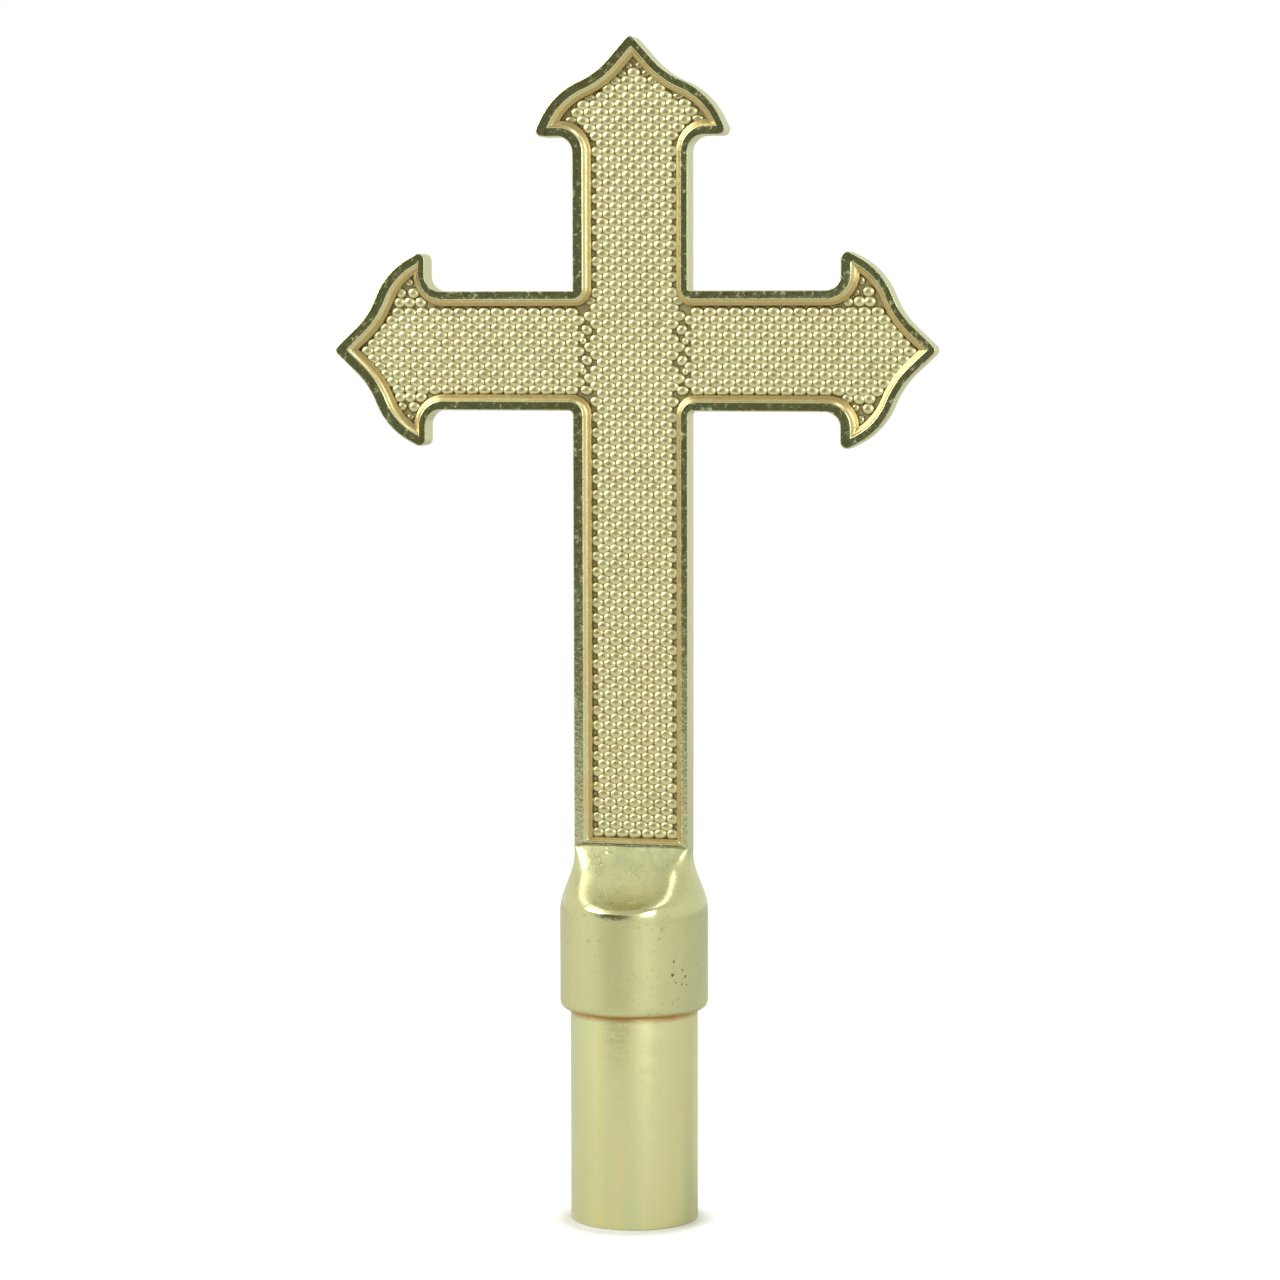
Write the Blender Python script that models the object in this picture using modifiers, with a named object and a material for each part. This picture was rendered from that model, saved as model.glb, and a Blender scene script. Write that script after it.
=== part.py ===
"""Pole-top cross in cast brass, standing on the end of its ferrule.

Metres, +Z up. The front faces -Y, and the origin is the middle of the ferrule's lower end.
"""

from cmath import phase, rect
from math import asin, cos, pi, sin, tan

import bmesh
import bpy

# Overall sizes
APEX_Z = 0.2344  # the top point before it is rounded
ARM_Z = 0.1729  # the arms' centre line
ARM_REACH = 0.0609  # centre line to an arm's point before it is rounded
LIMB_HALF = 0.0116  # half the width of the upright and of the arms
BLADE_THICKNESS = 0.0054

# Heads: the arrow-shaped ends, as (back from the point, out from the centre line)
FLANK_END = complex(0.0047, 0.0044)  # the flank is straight from the point to here
INFLECTION = complex(0.0089, 0.01055)  # where the hollow flank turns into the full shoulder
SHOULDER_END = complex(0.0157, 0.0181)
HEAD_LENGTH = 0.0191
TOP_HEAD_STRETCH = 1.04  # the top head is a little longer than the arms'
TOP_HEAD_SPREAD = 0.995
POINT_RADIUS = 0.0012
BARB_RADIUS = 0.0013
SWEEP_RADIUS = 0.0031  # inside curve from a barb into the limb
UPPER_CROTCH_RADIUS = 0.0003
LOWER_CROTCH_RADIUS = 0.0009

# Sunk panels
RIM_WIDTH = 0.0018
BAND_RUN = 0.0014  # sloping band between the rim and the panel's floor
PANEL_DEPTH = 0.0010
PANEL_FOOT_Z = 0.0760
CUTTER_CLEAR = 0.0001  # how far the panel cutter's slope starts outside the face

# Turned neck and collar
NECK_TOP_Z = 0.0750
NECK_TOP_RADIUS = 0.0114
FLARE_TOP_Z = 0.0730
FLARE_FOOT_Z = 0.0612
COLLAR_RADIUS = 0.01475
COLLAR_FOOT_Z = 0.0424
LIP_RADIUS = 0.0015
SCOOP_RADIUS = 0.0300  # drum that hollows the neck's front and back
SCOOP_Y = 0.02861
SCOOP_Z = 0.09003
BLADE_FOOT_Z = 0.0690  # hidden inside the neck

# Ferrule and the fixing inside it
GAP = 0.0003  # clearance between pieces that touch
TUBE_RADIUS = 0.0127
TUBE_WALL = 0.0010
TUBE_EDGE = 0.0002
SOCKET_DEPTH = 0.0123
DISC_THICKNESS = 0.0030
SOLDER_LEG = 0.0020
WASHER_RADIUS = 0.0070
WASHER_THICKNESS = 0.0012
LOCK_WASHER_RADIUS = 0.0056
LOCK_WASHER_THICKNESS = 0.0016
LOCK_WASHER_SPLIT = 0.0008
SHANK_RADIUS = 0.003175
HEAD_RADIUS = 0.0055
HEAD_HEIGHT = 0.0036
HEAD_ROUND = 0.0014
DRIVE_SLOT_WIDTH = 0.0014
DRIVE_SLOT_DEPTH = 0.0018
SCREW_TIP_Z = 0.0660
TAPPED_HOLE_TOP_Z = 0.0675

# Faceting
ARC_STEPS = 7
TURNED_STEPS = 72
SMALL_STEPS = 40
DRUM_SIDES = 144

SOCKET_TOP_Z = COLLAR_FOOT_Z + SOCKET_DEPTH
TUBE_TOP_Z = SOCKET_TOP_Z - GAP
DISC_FOOT_Z = TUBE_TOP_Z - DISC_THICKNESS
WASHER_FOOT_Z = DISC_FOOT_Z - GAP - WASHER_THICKNESS
LOCK_WASHER_FOOT_Z = WASHER_FOOT_Z - GAP - LOCK_WASHER_THICKNESS
HEAD_TOP_Z = LOCK_WASHER_FOOT_Z - GAP
HEAD_FOOT_Z = HEAD_TOP_Z - HEAD_HEIGHT
HOLE_RADIUS = SHANK_RADIUS + GAP
TUBE_BORE = TUBE_RADIUS - TUBE_WALL


# Scene helpers


def clear_scene():
    for thing in list(bpy.data.objects):
        bpy.data.objects.remove(thing, do_unlink=True)


def new_collection(name):
    collection = bpy.data.collections.new(name)
    bpy.context.scene.collection.children.link(collection)
    return collection


def material(name, colour, roughness, metallic=1.0):
    made = bpy.data.materials.new(name)
    made.use_nodes = True
    shader = made.node_tree.nodes["Principled BSDF"]
    shader.inputs["Base Color"].default_value = (*colour, 1.0)
    shader.inputs["Roughness"].default_value = roughness
    shader.inputs["Metallic"].default_value = metallic
    return made


def add_part(name, mesh, finish):
    part = bpy.data.objects.new(name, mesh)
    mesh.materials.append(finish)
    parts.objects.link(part)
    return part


def add_cutter(name, mesh):
    cutter = bpy.data.objects.new(name, mesh)
    cutter.hide_render = True
    cutter.display_type = "WIRE"
    cutters.objects.link(cutter)
    return cutter


def boolean(part, cutter, operation="DIFFERENCE"):
    modifier = part.modifiers.new(cutter.name, "BOOLEAN")
    modifier.operation = operation
    modifier.solver = "EXACT"
    modifier.object = cutter


def profile_mesh(name, profile, closed):
    """Mesh of edges through (radius, height) points in the XZ plane, for a Screw modifier."""
    edges = [(k, k + 1) for k in range(len(profile) - 1)]
    if closed:
        edges.append((len(profile) - 1, 0))
    mesh = bpy.data.meshes.new(name)
    mesh.from_pydata([(radius, 0, height) for radius, height in profile], edges, [])
    return mesh


def turn(part, steps):
    screw = part.modifiers.new("turned", "SCREW")
    screw.steps = steps
    screw.render_steps = steps
    screw.use_merge_vertices = True
    screw.merge_threshold = 0.00001
    screw.use_smooth_shade = True


def loft_mesh(name, near, near_y, far, far_y):
    """Solid between two outlines of as many points, each in a plane across Y."""
    bm = bmesh.new()
    near_ring = [bm.verts.new((place.real, near_y, place.imag)) for place in near]
    far_ring = [bm.verts.new((place.real, far_y, place.imag)) for place in far]
    bm.faces.new(near_ring)
    bm.faces.new(far_ring)
    for k in range(len(near)):
        bm.faces.new([near_ring[k - 1], near_ring[k], far_ring[k], far_ring[k - 1]])
    bmesh.ops.remove_doubles(bm, verts=bm.verts, dist=1e-6)
    whole = bm.verts[:] + bm.edges[:] + bm.faces[:]
    bmesh.ops.bisect_plane(bm, geom=whole, dist=1e-7, plane_co=(0, 0, 0), plane_no=(1, 0, 0))
    bmesh.ops.recalc_face_normals(bm, faces=bm.faces)
    mesh = bpy.data.meshes.new(name)
    bm.to_mesh(mesh)
    bm.free()
    return mesh


# The cross's outline, as complex numbers x + z*1j, anticlockwise seen from the front


def arc(start, end, heading, steps=ARC_STEPS):
    """Points after start on the circular arc to end that leaves start in this heading."""
    chord = end - start
    bend = 2 * phase(chord * rect(1, -heading))
    stride = abs(chord) * sin(bend / (2 * steps)) / sin(bend / 2)
    points = [start]
    for k in range(steps):
        points.append(points[-1] + rect(stride, heading + bend * (k + 0.5) / steps))
    return points[1:]


def head(stretch=1.0, spread=1.0):
    """(point, corner radius) down one side of a head, from its point to the limb's corner."""
    flank_heading = phase(FLANK_END)
    inflection_heading = 2 * phase(INFLECTION - FLANK_END) - flank_heading
    shoulder_heading = 2 * phase(SHOULDER_END - INFLECTION) - inflection_heading
    barb_out = SHOULDER_END.imag + (HEAD_LENGTH - SHOULDER_END.real) * tan(shoulder_heading)
    curve = [FLANK_END]
    curve += arc(FLANK_END, INFLECTION, flank_heading)
    curve += arc(INFLECTION, SHOULDER_END, inflection_heading)
    corners = [(0j, POINT_RADIUS)]
    corners += [(point, 0) for point in curve]
    corners.append((complex(HEAD_LENGTH, barb_out), BARB_RADIUS))
    corners = [(complex(stretch * p.real, spread * p.imag), radius) for p, radius in corners]
    return corners + [(complex(stretch * HEAD_LENGTH, LIMB_HALF), SWEEP_RADIUS)]


def rounded(corners):
    """Closed outline through (point, radius) corners, each with a radius turned into an arc."""
    outline = []
    for k, (corner, radius) in enumerate(corners):
        if radius == 0:
            outline.append(corner)
            continue
        before = corner - corners[k - 1][0]
        after = corners[(k + 1) % len(corners)][0] - corner
        bend = phase(after / before)
        reach = radius * tan(abs(bend) / 2)
        start = corner - rect(reach, phase(before))
        outline.append(start)
        outline += arc(start, corner + rect(reach, phase(after)), phase(before))
    return outline


def cross_outline(foot_z):
    """The whole cross down to foot_z."""
    arm = head()
    top = head(TOP_HEAD_STRETCH, TOP_HEAD_SPREAD)
    right = [(complex(LIMB_HALF, foot_z), 0)]
    right.append((complex(LIMB_HALF, ARM_Z - LIMB_HALF), LOWER_CROTCH_RADIUS))
    right += [(complex(ARM_REACH, ARM_Z) - point, radius) for point, radius in reversed(arm)]
    right += [(complex(ARM_REACH, ARM_Z) - point.conjugate(), radius) for point, radius in arm[1:]]
    right.append((complex(LIMB_HALF, ARM_Z + LIMB_HALF), UPPER_CROTCH_RADIUS))
    right += [(complex(point.imag, APEX_Z - point.real), radius) for point, radius in reversed(top)]
    left = [(-point.conjugate(), radius) for point, radius in reversed(right[:-1])]
    return rounded(right + left)


def inset(outline, distance):
    """The outline moved in, point for point. An edge that turns round shrinks to a point."""
    lines = []
    for start, end in zip(outline, outline[1:] + outline[:1]):
        along = (end - start) / abs(end - start)
        lines.append((start + distance * 1j * along, along))
    kept = list(range(len(lines)))
    turned = True
    while turned:
        starts = {k: meeting(lines[kept[j - 1]], lines[k]) for j, k in enumerate(kept)}
        ends = [starts[k] for k in kept[1:] + kept[:1]]
        turned = [k for k, end in zip(kept, ends) if ((end - starts[k]) / lines[k][1]).real <= 0]
        kept = [k for k in kept if k not in turned]
    moved = []
    place = starts[kept[0]]
    for k in reversed(range(len(lines))):
        place = starts.get(k, place)
        moved.insert(0, place)
    return moved


def meeting(first, second):
    """Where two lines meet, each given as a point and a unit direction."""
    cross = (first[1].conjugate() * second[1]).imag
    if abs(cross) < 1e-6:
        return second[0]
    along = ((second[0] - first[0]).conjugate() * second[1]).imag / cross
    return first[0] + along * first[1]


# The casting


def flare_profile(steps=12):
    """Double curve from the neck's top radius out to the collar's."""
    points = []
    for k in range(steps + 1):
        share = (1 - cos(pi * k / steps)) / 2
        radius = LIMB_HALF + (COLLAR_RADIUS - LIMB_HALF) * share
        points.append((radius, FLARE_TOP_Z + (FLARE_FOOT_Z - FLARE_TOP_Z) * k / steps))
    return points


def lip_profile(steps=5):
    """Quarter round at the collar's foot."""
    points = []
    for k in range(steps + 1):
        angle = pi / 2 * k / steps
        radius = COLLAR_RADIUS - LIP_RADIUS * (1 - cos(angle))
        points.append((radius, COLLAR_FOOT_Z + LIP_RADIUS * (1 - sin(angle))))
    return points


def neck_and_collar():
    """Turned form from the neck's top to the lip, with the socket and the tapped hole inside."""
    socket_radius = TUBE_RADIUS + GAP
    profile = [(0, NECK_TOP_Z), (NECK_TOP_RADIUS, NECK_TOP_Z)]
    profile += flare_profile() + lip_profile()
    profile += [(socket_radius, COLLAR_FOOT_Z), (socket_radius, SOCKET_TOP_Z)]
    profile += [(HOLE_RADIUS, SOCKET_TOP_Z), (HOLE_RADIUS, TAPPED_HOLE_TOP_Z), (0, TAPPED_HOLE_TOP_Z)]
    casting = add_part("cross_casting", profile_mesh("cross_casting", profile, closed=False), cast_brass)
    turn(casting, TURNED_STEPS)
    return casting


def scoop(side):
    """Drum across the neck on one side: -1 is the front."""
    bm = bmesh.new()
    bmesh.ops.create_cone(
        bm,
        cap_ends=True,
        segments=DRUM_SIDES,
        radius1=SCOOP_RADIUS,
        radius2=SCOOP_RADIUS,
        depth=4 * COLLAR_RADIUS,
    )
    mesh = bpy.data.meshes.new("scoop")
    bm.to_mesh(mesh)
    bm.free()
    drum = add_cutter("scoop_front" if side < 0 else "scoop_back", mesh)
    drum.rotation_euler = (0, pi / 2, 0)
    drum.location = (0, side * SCOOP_Y, SCOOP_Z)
    return drum


def blade():
    """The flat cross, down to a foot that is hidden in the neck."""
    outline = cross_outline(BLADE_FOOT_Z)
    half = BLADE_THICKNESS / 2
    return add_cutter("blade", loft_mesh("blade", outline, -half, outline, half))


def panel(side):
    """Cutter for the sunk panel of one face. Its sloping band starts just clear of the face."""
    outline = cross_outline(PANEL_FOOT_Z - RIM_WIDTH)
    mouth = inset(outline, RIM_WIDTH - BAND_RUN * CUTTER_CLEAR / PANEL_DEPTH)
    floor = inset(outline, RIM_WIDTH + BAND_RUN)
    face_y = BLADE_THICKNESS / 2
    name = "panel_front" if side < 0 else "panel_back"
    mesh = loft_mesh(name, mouth, side * (face_y + CUTTER_CLEAR), floor, side * (face_y - PANEL_DEPTH))
    return add_cutter(name, mesh)


def cross_casting():
    casting = neck_and_collar()
    for side in (-1, 1):
        boolean(casting, scoop(side))
    boolean(casting, blade(), "UNION")
    for side in (-1, 1):
        boolean(casting, panel(side))


# The ferrule


def ring(name, inner, outer, foot_z, top_z, finish, edge=0.0, steps=TURNED_STEPS):
    """Turned ring with its outer and inner edges broken by a small chamfer."""
    profile = [(inner + edge, top_z), (outer - edge, top_z)]
    if edge:
        profile += [(outer, top_z - edge), (outer, foot_z + edge)]
    profile += [(outer - edge, foot_z), (inner + edge, foot_z)]
    if edge:
        profile += [(inner, foot_z + edge), (inner, top_z - edge)]
    part = add_part(name, profile_mesh(name, profile, closed=True), finish)
    turn(part, steps)
    return part


def ferrule_tube():
    ring("ferrule_tube", TUBE_BORE, TUBE_RADIUS, 0, TUBE_TOP_Z, tube_brass, edge=TUBE_EDGE)


def ferrule_end_disc():
    ring("ferrule_end_disc", HOLE_RADIUS, TUBE_BORE - GAP, DISC_FOOT_Z, TUBE_TOP_Z, tube_brass)


def end_disc_solder():
    """Hollow fillet in the corner under the disc."""
    outer = TUBE_BORE - GAP
    top_z = DISC_FOOT_Z - GAP
    profile = [(outer - SOLDER_LEG, top_z), (outer, top_z), (outer, top_z - SOLDER_LEG)]
    steps = 4
    for k in range(1, steps):
        angle = pi / 2 * k / steps
        profile.append((outer - SOLDER_LEG * (1 - cos(angle)), top_z - SOLDER_LEG * (1 - sin(angle))))
    solder = add_part("end_disc_solder", profile_mesh("end_disc_solder", profile, closed=True), solder_grey)
    turn(solder, TURNED_STEPS)


# The fixing


def box_cutter(name, size, place, turn_x=0.0):
    bm = bmesh.new()
    bmesh.ops.create_cube(bm, size=1.0)
    bmesh.ops.scale(bm, vec=size, verts=bm.verts)
    mesh = bpy.data.meshes.new(name)
    bm.to_mesh(mesh)
    bm.free()
    cutter = add_cutter(name, mesh)
    cutter.location = place
    cutter.rotation_euler = (turn_x, 0, 0)
    return cutter


def fixing_screw():
    """Slotted pan head below, plain shank of the thread's outer size above."""
    profile = [(0, SCREW_TIP_Z), (SHANK_RADIUS - HEAD_ROUND / 2, SCREW_TIP_Z)]
    profile += [(SHANK_RADIUS, SCREW_TIP_Z - HEAD_ROUND / 2), (SHANK_RADIUS, HEAD_TOP_Z)]
    steps = 5
    for k in range(steps + 1):
        angle = pi / 2 * k / steps
        radius = HEAD_RADIUS - HEAD_ROUND * (1 - cos(angle))
        profile.append((radius, HEAD_FOOT_Z + HEAD_ROUND * (1 - sin(angle))))
    profile.insert(4, (HEAD_RADIUS, HEAD_TOP_Z))
    profile.append((0, HEAD_FOOT_Z))
    screw = add_part("fixing_screw", profile_mesh("fixing_screw", profile, closed=False), zinc_steel)
    turn(screw, SMALL_STEPS)
    size = (4 * HEAD_RADIUS, DRIVE_SLOT_WIDTH, 2 * DRIVE_SLOT_DEPTH)
    boolean(screw, box_cutter("drive_slot", size, (0, 0, HEAD_FOOT_Z)))


def washers():
    top_z = WASHER_FOOT_Z + WASHER_THICKNESS
    ring("plain_washer", HOLE_RADIUS, WASHER_RADIUS, WASHER_FOOT_Z, top_z, zinc_steel, steps=SMALL_STEPS)
    middle_z = LOCK_WASHER_FOOT_Z + LOCK_WASHER_THICKNESS / 2
    lock = ring(
        "lock_washer",
        HOLE_RADIUS,
        LOCK_WASHER_RADIUS,
        LOCK_WASHER_FOOT_Z,
        LOCK_WASHER_FOOT_Z + LOCK_WASHER_THICKNESS,
        zinc_steel,
        steps=SMALL_STEPS,
    )
    size = (LOCK_WASHER_RADIUS, LOCK_WASHER_SPLIT, 4 * LOCK_WASHER_THICKNESS)
    place = ((HOLE_RADIUS + LOCK_WASHER_RADIUS) / 2, 0, middle_z)
    boolean(lock, box_cutter("washer_split", size, place, turn_x=asin(0.5)))


clear_scene()
parts = new_collection("pole_top_cross")
cutters = new_collection("cutters")
cast_brass = material("cast_brass", (0.62, 0.56, 0.30), 0.32)
tube_brass = material("tube_brass", (0.66, 0.62, 0.38), 0.28)
solder_grey = material("solder_grey", (0.55, 0.56, 0.56), 0.45)
zinc_steel = material("zinc_steel", (0.68, 0.69, 0.70), 0.35)

cross_casting()
ferrule_tube()
ferrule_end_disc()
end_disc_solder()
fixing_screw()
washers()
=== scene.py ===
"""Looks of the pole-top cross: a fine casting with its beaded panels, the ferrule, brass and steel
finishes, studio light and the camera. Metres, +Z up, the front faces -Y."""

from cmath import phase, rect
from itertools import chain
from math import atan2, ceil, cos, hypot, pi, radians, sin, sqrt, tan
from random import Random

import bmesh
import bpy
import numpy as np
from mathutils import Euler, Matrix, Vector, noise


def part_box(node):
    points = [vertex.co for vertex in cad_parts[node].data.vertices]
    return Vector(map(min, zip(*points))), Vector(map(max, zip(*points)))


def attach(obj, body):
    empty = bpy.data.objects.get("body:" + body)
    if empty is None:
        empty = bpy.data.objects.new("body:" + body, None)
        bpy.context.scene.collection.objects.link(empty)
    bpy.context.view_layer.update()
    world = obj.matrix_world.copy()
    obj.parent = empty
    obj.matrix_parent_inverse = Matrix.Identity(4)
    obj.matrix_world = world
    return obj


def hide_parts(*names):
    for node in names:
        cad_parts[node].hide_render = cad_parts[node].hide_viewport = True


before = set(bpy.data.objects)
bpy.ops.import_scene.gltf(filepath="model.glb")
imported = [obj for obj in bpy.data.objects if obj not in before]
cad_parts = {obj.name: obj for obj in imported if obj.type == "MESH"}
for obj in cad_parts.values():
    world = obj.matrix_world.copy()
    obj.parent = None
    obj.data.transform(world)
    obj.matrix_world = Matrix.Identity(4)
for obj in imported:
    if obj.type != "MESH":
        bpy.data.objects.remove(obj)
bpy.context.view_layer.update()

# Outline of the cross: the CAD casting's, but for the arms' undersides
APEX_Z = 0.2344
ARM_Z = 0.1729
ARM_REACH = 0.0609
LIMB_HALF = 0.0116
ARM_UNDER = 0.0119  # half width of an arm on its lower side
HALF_THICK = 0.0027
FLANK_END = complex(0.0047, 0.0044)
INFLECTION = complex(0.0089, 0.01055)
SHOULDER_END = complex(0.0157, 0.0181)
HEAD_LENGTH = 0.0191
TOP_HEAD_STRETCH = 1.04
TOP_HEAD_SPREAD = 0.995
POINT_RADIUS = 0.0012
BARB_RADIUS = 0.0013
SWEEP_RADIUS = 0.0031
UPPER_CROTCH_RADIUS = 0.0003
LOWER_CROTCH_RADIUS = 0.0009
STEP = 0.0004  # longest edge along the outline
ROUND_STEPS = 4
SUPPORT = 0.0001  # from a rounding to the next ring of points on the flat
WALL_SHARE = 0.45  # height of the ring of points on the wall, as a share of the half thickness
LONG_WAVES = 160  # in a metre
SHORT_WAVES = 700
WAVE_DEPTH = 0.00003
TINY = 1e-6
SAME = 1e-7  # places nearer than this are one
MERGE = 2e-6
CASTING_CREASE = 38  # edges sharper than these angles, in degrees, stay sharp
BEAD_CREASE = 60
TUBE_CREASE = 50

# Relief of the faces, as distances in from the outline and down from the face
EDGE_ROUND = 0.0002
RIM_WIDTH = 0.0018
BAND_END = 0.0030
BAND_DEPTH = 0.00078
BAND_SHADE_START = 0.00054  # depths between which the band turns brown: painted shade beside the beads
BAND_SHADE_FULL = 0.00066
FLOOR_START = 0.0032
FLOOR_DEPTH = 0.0016
FOOT_RIM = 0.0005  # the rim is narrower at the panel's foot, and so are the slopes inside it
FOOT_SHARE = 0.71
FLOOR_FOOT = FOOT_RIM + FOOT_SHARE * (FLOOR_START - RIM_WIDTH)
PANEL_SHIFT = complex(0.0006, 0.0001)  # the panel's floor isn't quite central in the rim
RELIEF = (
    (RIM_WIDTH - 0.00020, 0.0),
    (RIM_WIDTH - 0.00010, 0.00002),
    (RIM_WIDTH, 0.00008),
    (RIM_WIDTH + 0.00014, 0.00022),
    (RIM_WIDTH + 0.00030, 0.00040),
    (RIM_WIDTH + 0.00048, 0.00053),
    (RIM_WIDTH + 0.00080, 0.00065),
    (BAND_END - 0.00008, BAND_DEPTH - 0.00004),
    (BAND_END, BAND_DEPTH),
    (BAND_END + 0.00006, BAND_DEPTH + 0.00014),
    (FLOOR_START, FLOOR_DEPTH),
)
BLADE_FOOT_Z = 0.0750  # where the flat blade passes into the neck
RIM_LEVEL = 2 + ROUND_STEPS  # the ring of points at the outer edge of the flat rim
RIM_START = RIM_LEVEL - 2  # halfway round the outer edge
RIM_END = RIM_LEVEL + 4  # where the band starts to slope
BAND_LAST = RIM_LEVEL + len(RELIEF) - 1  # the last faces above the drop to the floor
WALL, RIM, BAND, FLOOR, NECK = range(5)  # the casting's finishes

# Neck, collar and the bores inside
FLARE_TOP_Z = 0.0738
FLARE_FOOT_Z = 0.0618
COLLAR_RADIUS = 0.01475
COLLAR_TOP_Z = 0.0605  # from here down the collar is a plain cylinder
COLLAR_FOOT_Z = 0.0424
COLLAR_RINGS = 14
LIP_STEPS = 8
LIP_RADIUS = 0.0015
SWELL_TOP_Z = 0.0755  # the front swells gently from here
SWELL_FOOT_Z = 0.0618
SWELL_SHARE = 0.72
SHOULDER_TOP_Z = 0.0712  # and quickly from here, into the collar's shoulder
SHOULDER_FOOT_Z = 0.0640
SCOOP_RADIUS = 0.0300
SCOOP_Y = 0.02861
SCOOP_Z = 0.09003
SCOOP_FOOT_Z = 0.0635
SIDE_EDGE = 0.0011  # how widely the scoop's edge is rounded beside it
LIP_EDGE = 0.0009  # and at the lip over the collar
NECK_STEP = 0.00028
SOCKET_RADIUS = 0.0130
SOCKET_TOP_Z = 0.0547
HOLE_RADIUS = 0.003475
HOLE_TOP_Z = 0.0675

# Beads, in staggered rows
BEAD_PITCH = 0.00255
ROW_PITCH = 0.001525
BEAD_HALF_WIDTH = 0.00151
BEAD_HALF_HEIGHT = 0.00123
BEAD_RISE = 0.00064
BEAD_SHADE_FADE_START = 0.40  # shares of the rise between which the painted shade in the valleys gives way to the beads' own brass
BEAD_SHADE_FADE_END = 0.72
BEAD_SINK = 0.00006
BEAD_SIDES = 16
BEAD_RINGS = 5
BEAD_SEED = 7
BEAD_SHIFT = 0.00002  # spread of the beads' places
BEAD_SPREAD = 0.04  # of their rises, as a share
BEAD_TILT = 0.05  # and of their tilts
EDGE_BITE = 0.10  # a bead whose middle is this far over the edge, as a share of its size, is left out
EDGE_OVERLAP = 0.65  # share of a bead's size that the panel's edge may cover
EDGE_RISE = 0.4  # share of its rise that a bead squeezed to nothing would keep
PATTERN_X = 0.00058  # the pattern stands a little to the right of the centre line
UPRIGHT_ROW_Z = 0.17346
ARM_ROW_Z = 0.1757
ARM_FIRST_BEAD = 0.01135  # from the pattern's centre line to the first bead of an arm
UPRIGHT_ROWS = range(-36, 64)  # counted down from the row at the crossing's middle
UPRIGHT_BEADS = 20  # in a row, before the panel's edge cuts it short
CROSSING_BEADS = 8
ARM_ROWS = range(-3, 8)
ARM_BEADS = 19
BARB_BEADS = (
    complex(0.0135, 0.0094),
    complex(0.0156, 0.0094),
    complex(0.0179, 0.0094),
    complex(0.0138, 0.0113),
    complex(0.0164, 0.0113),
    complex(0.0154, 0.0135),
)  # back from an arm's point, out from its centre line
SEAM_BEADS = (
    (0.0096, 0.0040, 0.00135, 0.00112, 0.6),
    (0.0103, 0.0018, 0.00086, 0.00086, -0.6),
    (0.0096, -0.0020, 0.00135, 0.00112, 0.6),
    (0.0103, -0.0042, 0.00086, 0.00086, -0.6),
    (0.0097, -0.0079, 0.00142, 0.00112, 0.1),
)  # out, up, half width, half height, tilt: loose beads between the upright's field and an arm's
BARB_BEAD_WIDTH = 0.00138
BARB_BEAD_HEIGHT = 0.00122
BARB_BEAD_TILT = 0.1

# Ferrule
TUBE_RADIUS = 0.0127
TUBE_BORE = 0.0117
TUBE_EDGE = 0.0002
TUBE_EDGE_STEPS = 4
TUBE_STEPS = 192

# Marks on the metal
COLLAR_PITS = (
    (0.01057, 0.0536, 0.00035),
    (0.0103, 0.0509, 0.00045),
    (0.0119, 0.0516, 0.00030),
    (0.0123, 0.0503, 0.00035),
    (0.0108, 0.0493, 0.00025),
    (0.0118, 0.0489, 0.00025),
    (0.0125, 0.0486, 0.00025),
)  # x, z, radius of the casting pits on the collar's front
SPATTER = (
    (-0.0065, -0.0046, 0.0720, 0.0017),
    (-0.0041, -0.0032, 0.0741, 0.0010),
    (-0.0062, -0.0128, 0.0645, 0.0013),
)  # x, y, z, radius of the patches of small lumps on the neck's front
POLISH_FOOT_Z = 0.0600  # the neck is polished above this, and the collar left satin
POLISH_TOP_Z = 0.0636
FACET_FOOT_Z = 0.0640  # mostly satin again above this
FACET_TOP_Z = 0.0652
STREAK_HIGHLIGHT_PLACE = (-0.0039, -0.0121, 0)  # x and y of the yellow streak down the tube: a painted highlight where the key light reflects
STREAK_HIGHLIGHT_RADIUS = 0.0009

# Colours, red, green and blue
BRASS = (0.60, 0.57, 0.30)
GREENISH = (0.57, 0.58, 0.32)
WARM = (0.62, 0.47, 0.20)
BROWN = (0.42, 0.32, 0.13)
# brown of the painted shade and reflection in the corner where the collar's lip meets the tube
JOINT_SHADE_BROWN = (0.40, 0.20, 0.05)
# painted shade low in the valleys between the beads
VALLEY_SHADE = (0.29, 0.24, 0.11)
PIT = (0.28, 0.27, 0.14)
DEEP_PIT = (0.16, 0.15, 0.08)
# yellow of the painted highlight down the tube
STREAK_HIGHLIGHT_YELLOW = (0.72, 0.62, 0.22)
DARK_GREEN = (0.14, 0.15, 0.10)
STUDIO_WHITE = (0.98, 1.0, 0.97)
CEILING_GREY = (0.74, 0.76, 0.70)
WHITE = (1, 1, 1)

# Camera and light. Azimuth 0 is the front and 90 the right, in degrees
CAMERA_PLACE = (0.1727, -0.7197, 0.1814)
CAMERA_AZIMUTH = 13.395
CAMERA_PITCH = 5.069
CAMERA_ROLL = -0.104
CAMERA_LENS = 105.69
SENSOR_WIDTH = 36
LIGHTS = {
    "key": (-54, 29, (0.42, 0.56), 4.6),
    "fill": (34, 14, (0.26, 0.40), 1.8),
    "high_left": (-85, 57, (0.36, 0.36), 0.8),
    "high_right": (66, 62, (0.30, 0.30), 0.9),
}  # azimuth, elevation, size, power
LIGHT_DISTANCE = 0.9
LIGHT_TARGET = Vector((0, 0, 0.14))
DARK_AZIMUTH = -19  # the dark space in front
DARK_RISE = 0.02  # its middle is this much above level
DARK_INNER = 15  # fully dark this many degrees from its middle
DARK_OUTER = 34  # and gone from here
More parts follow.
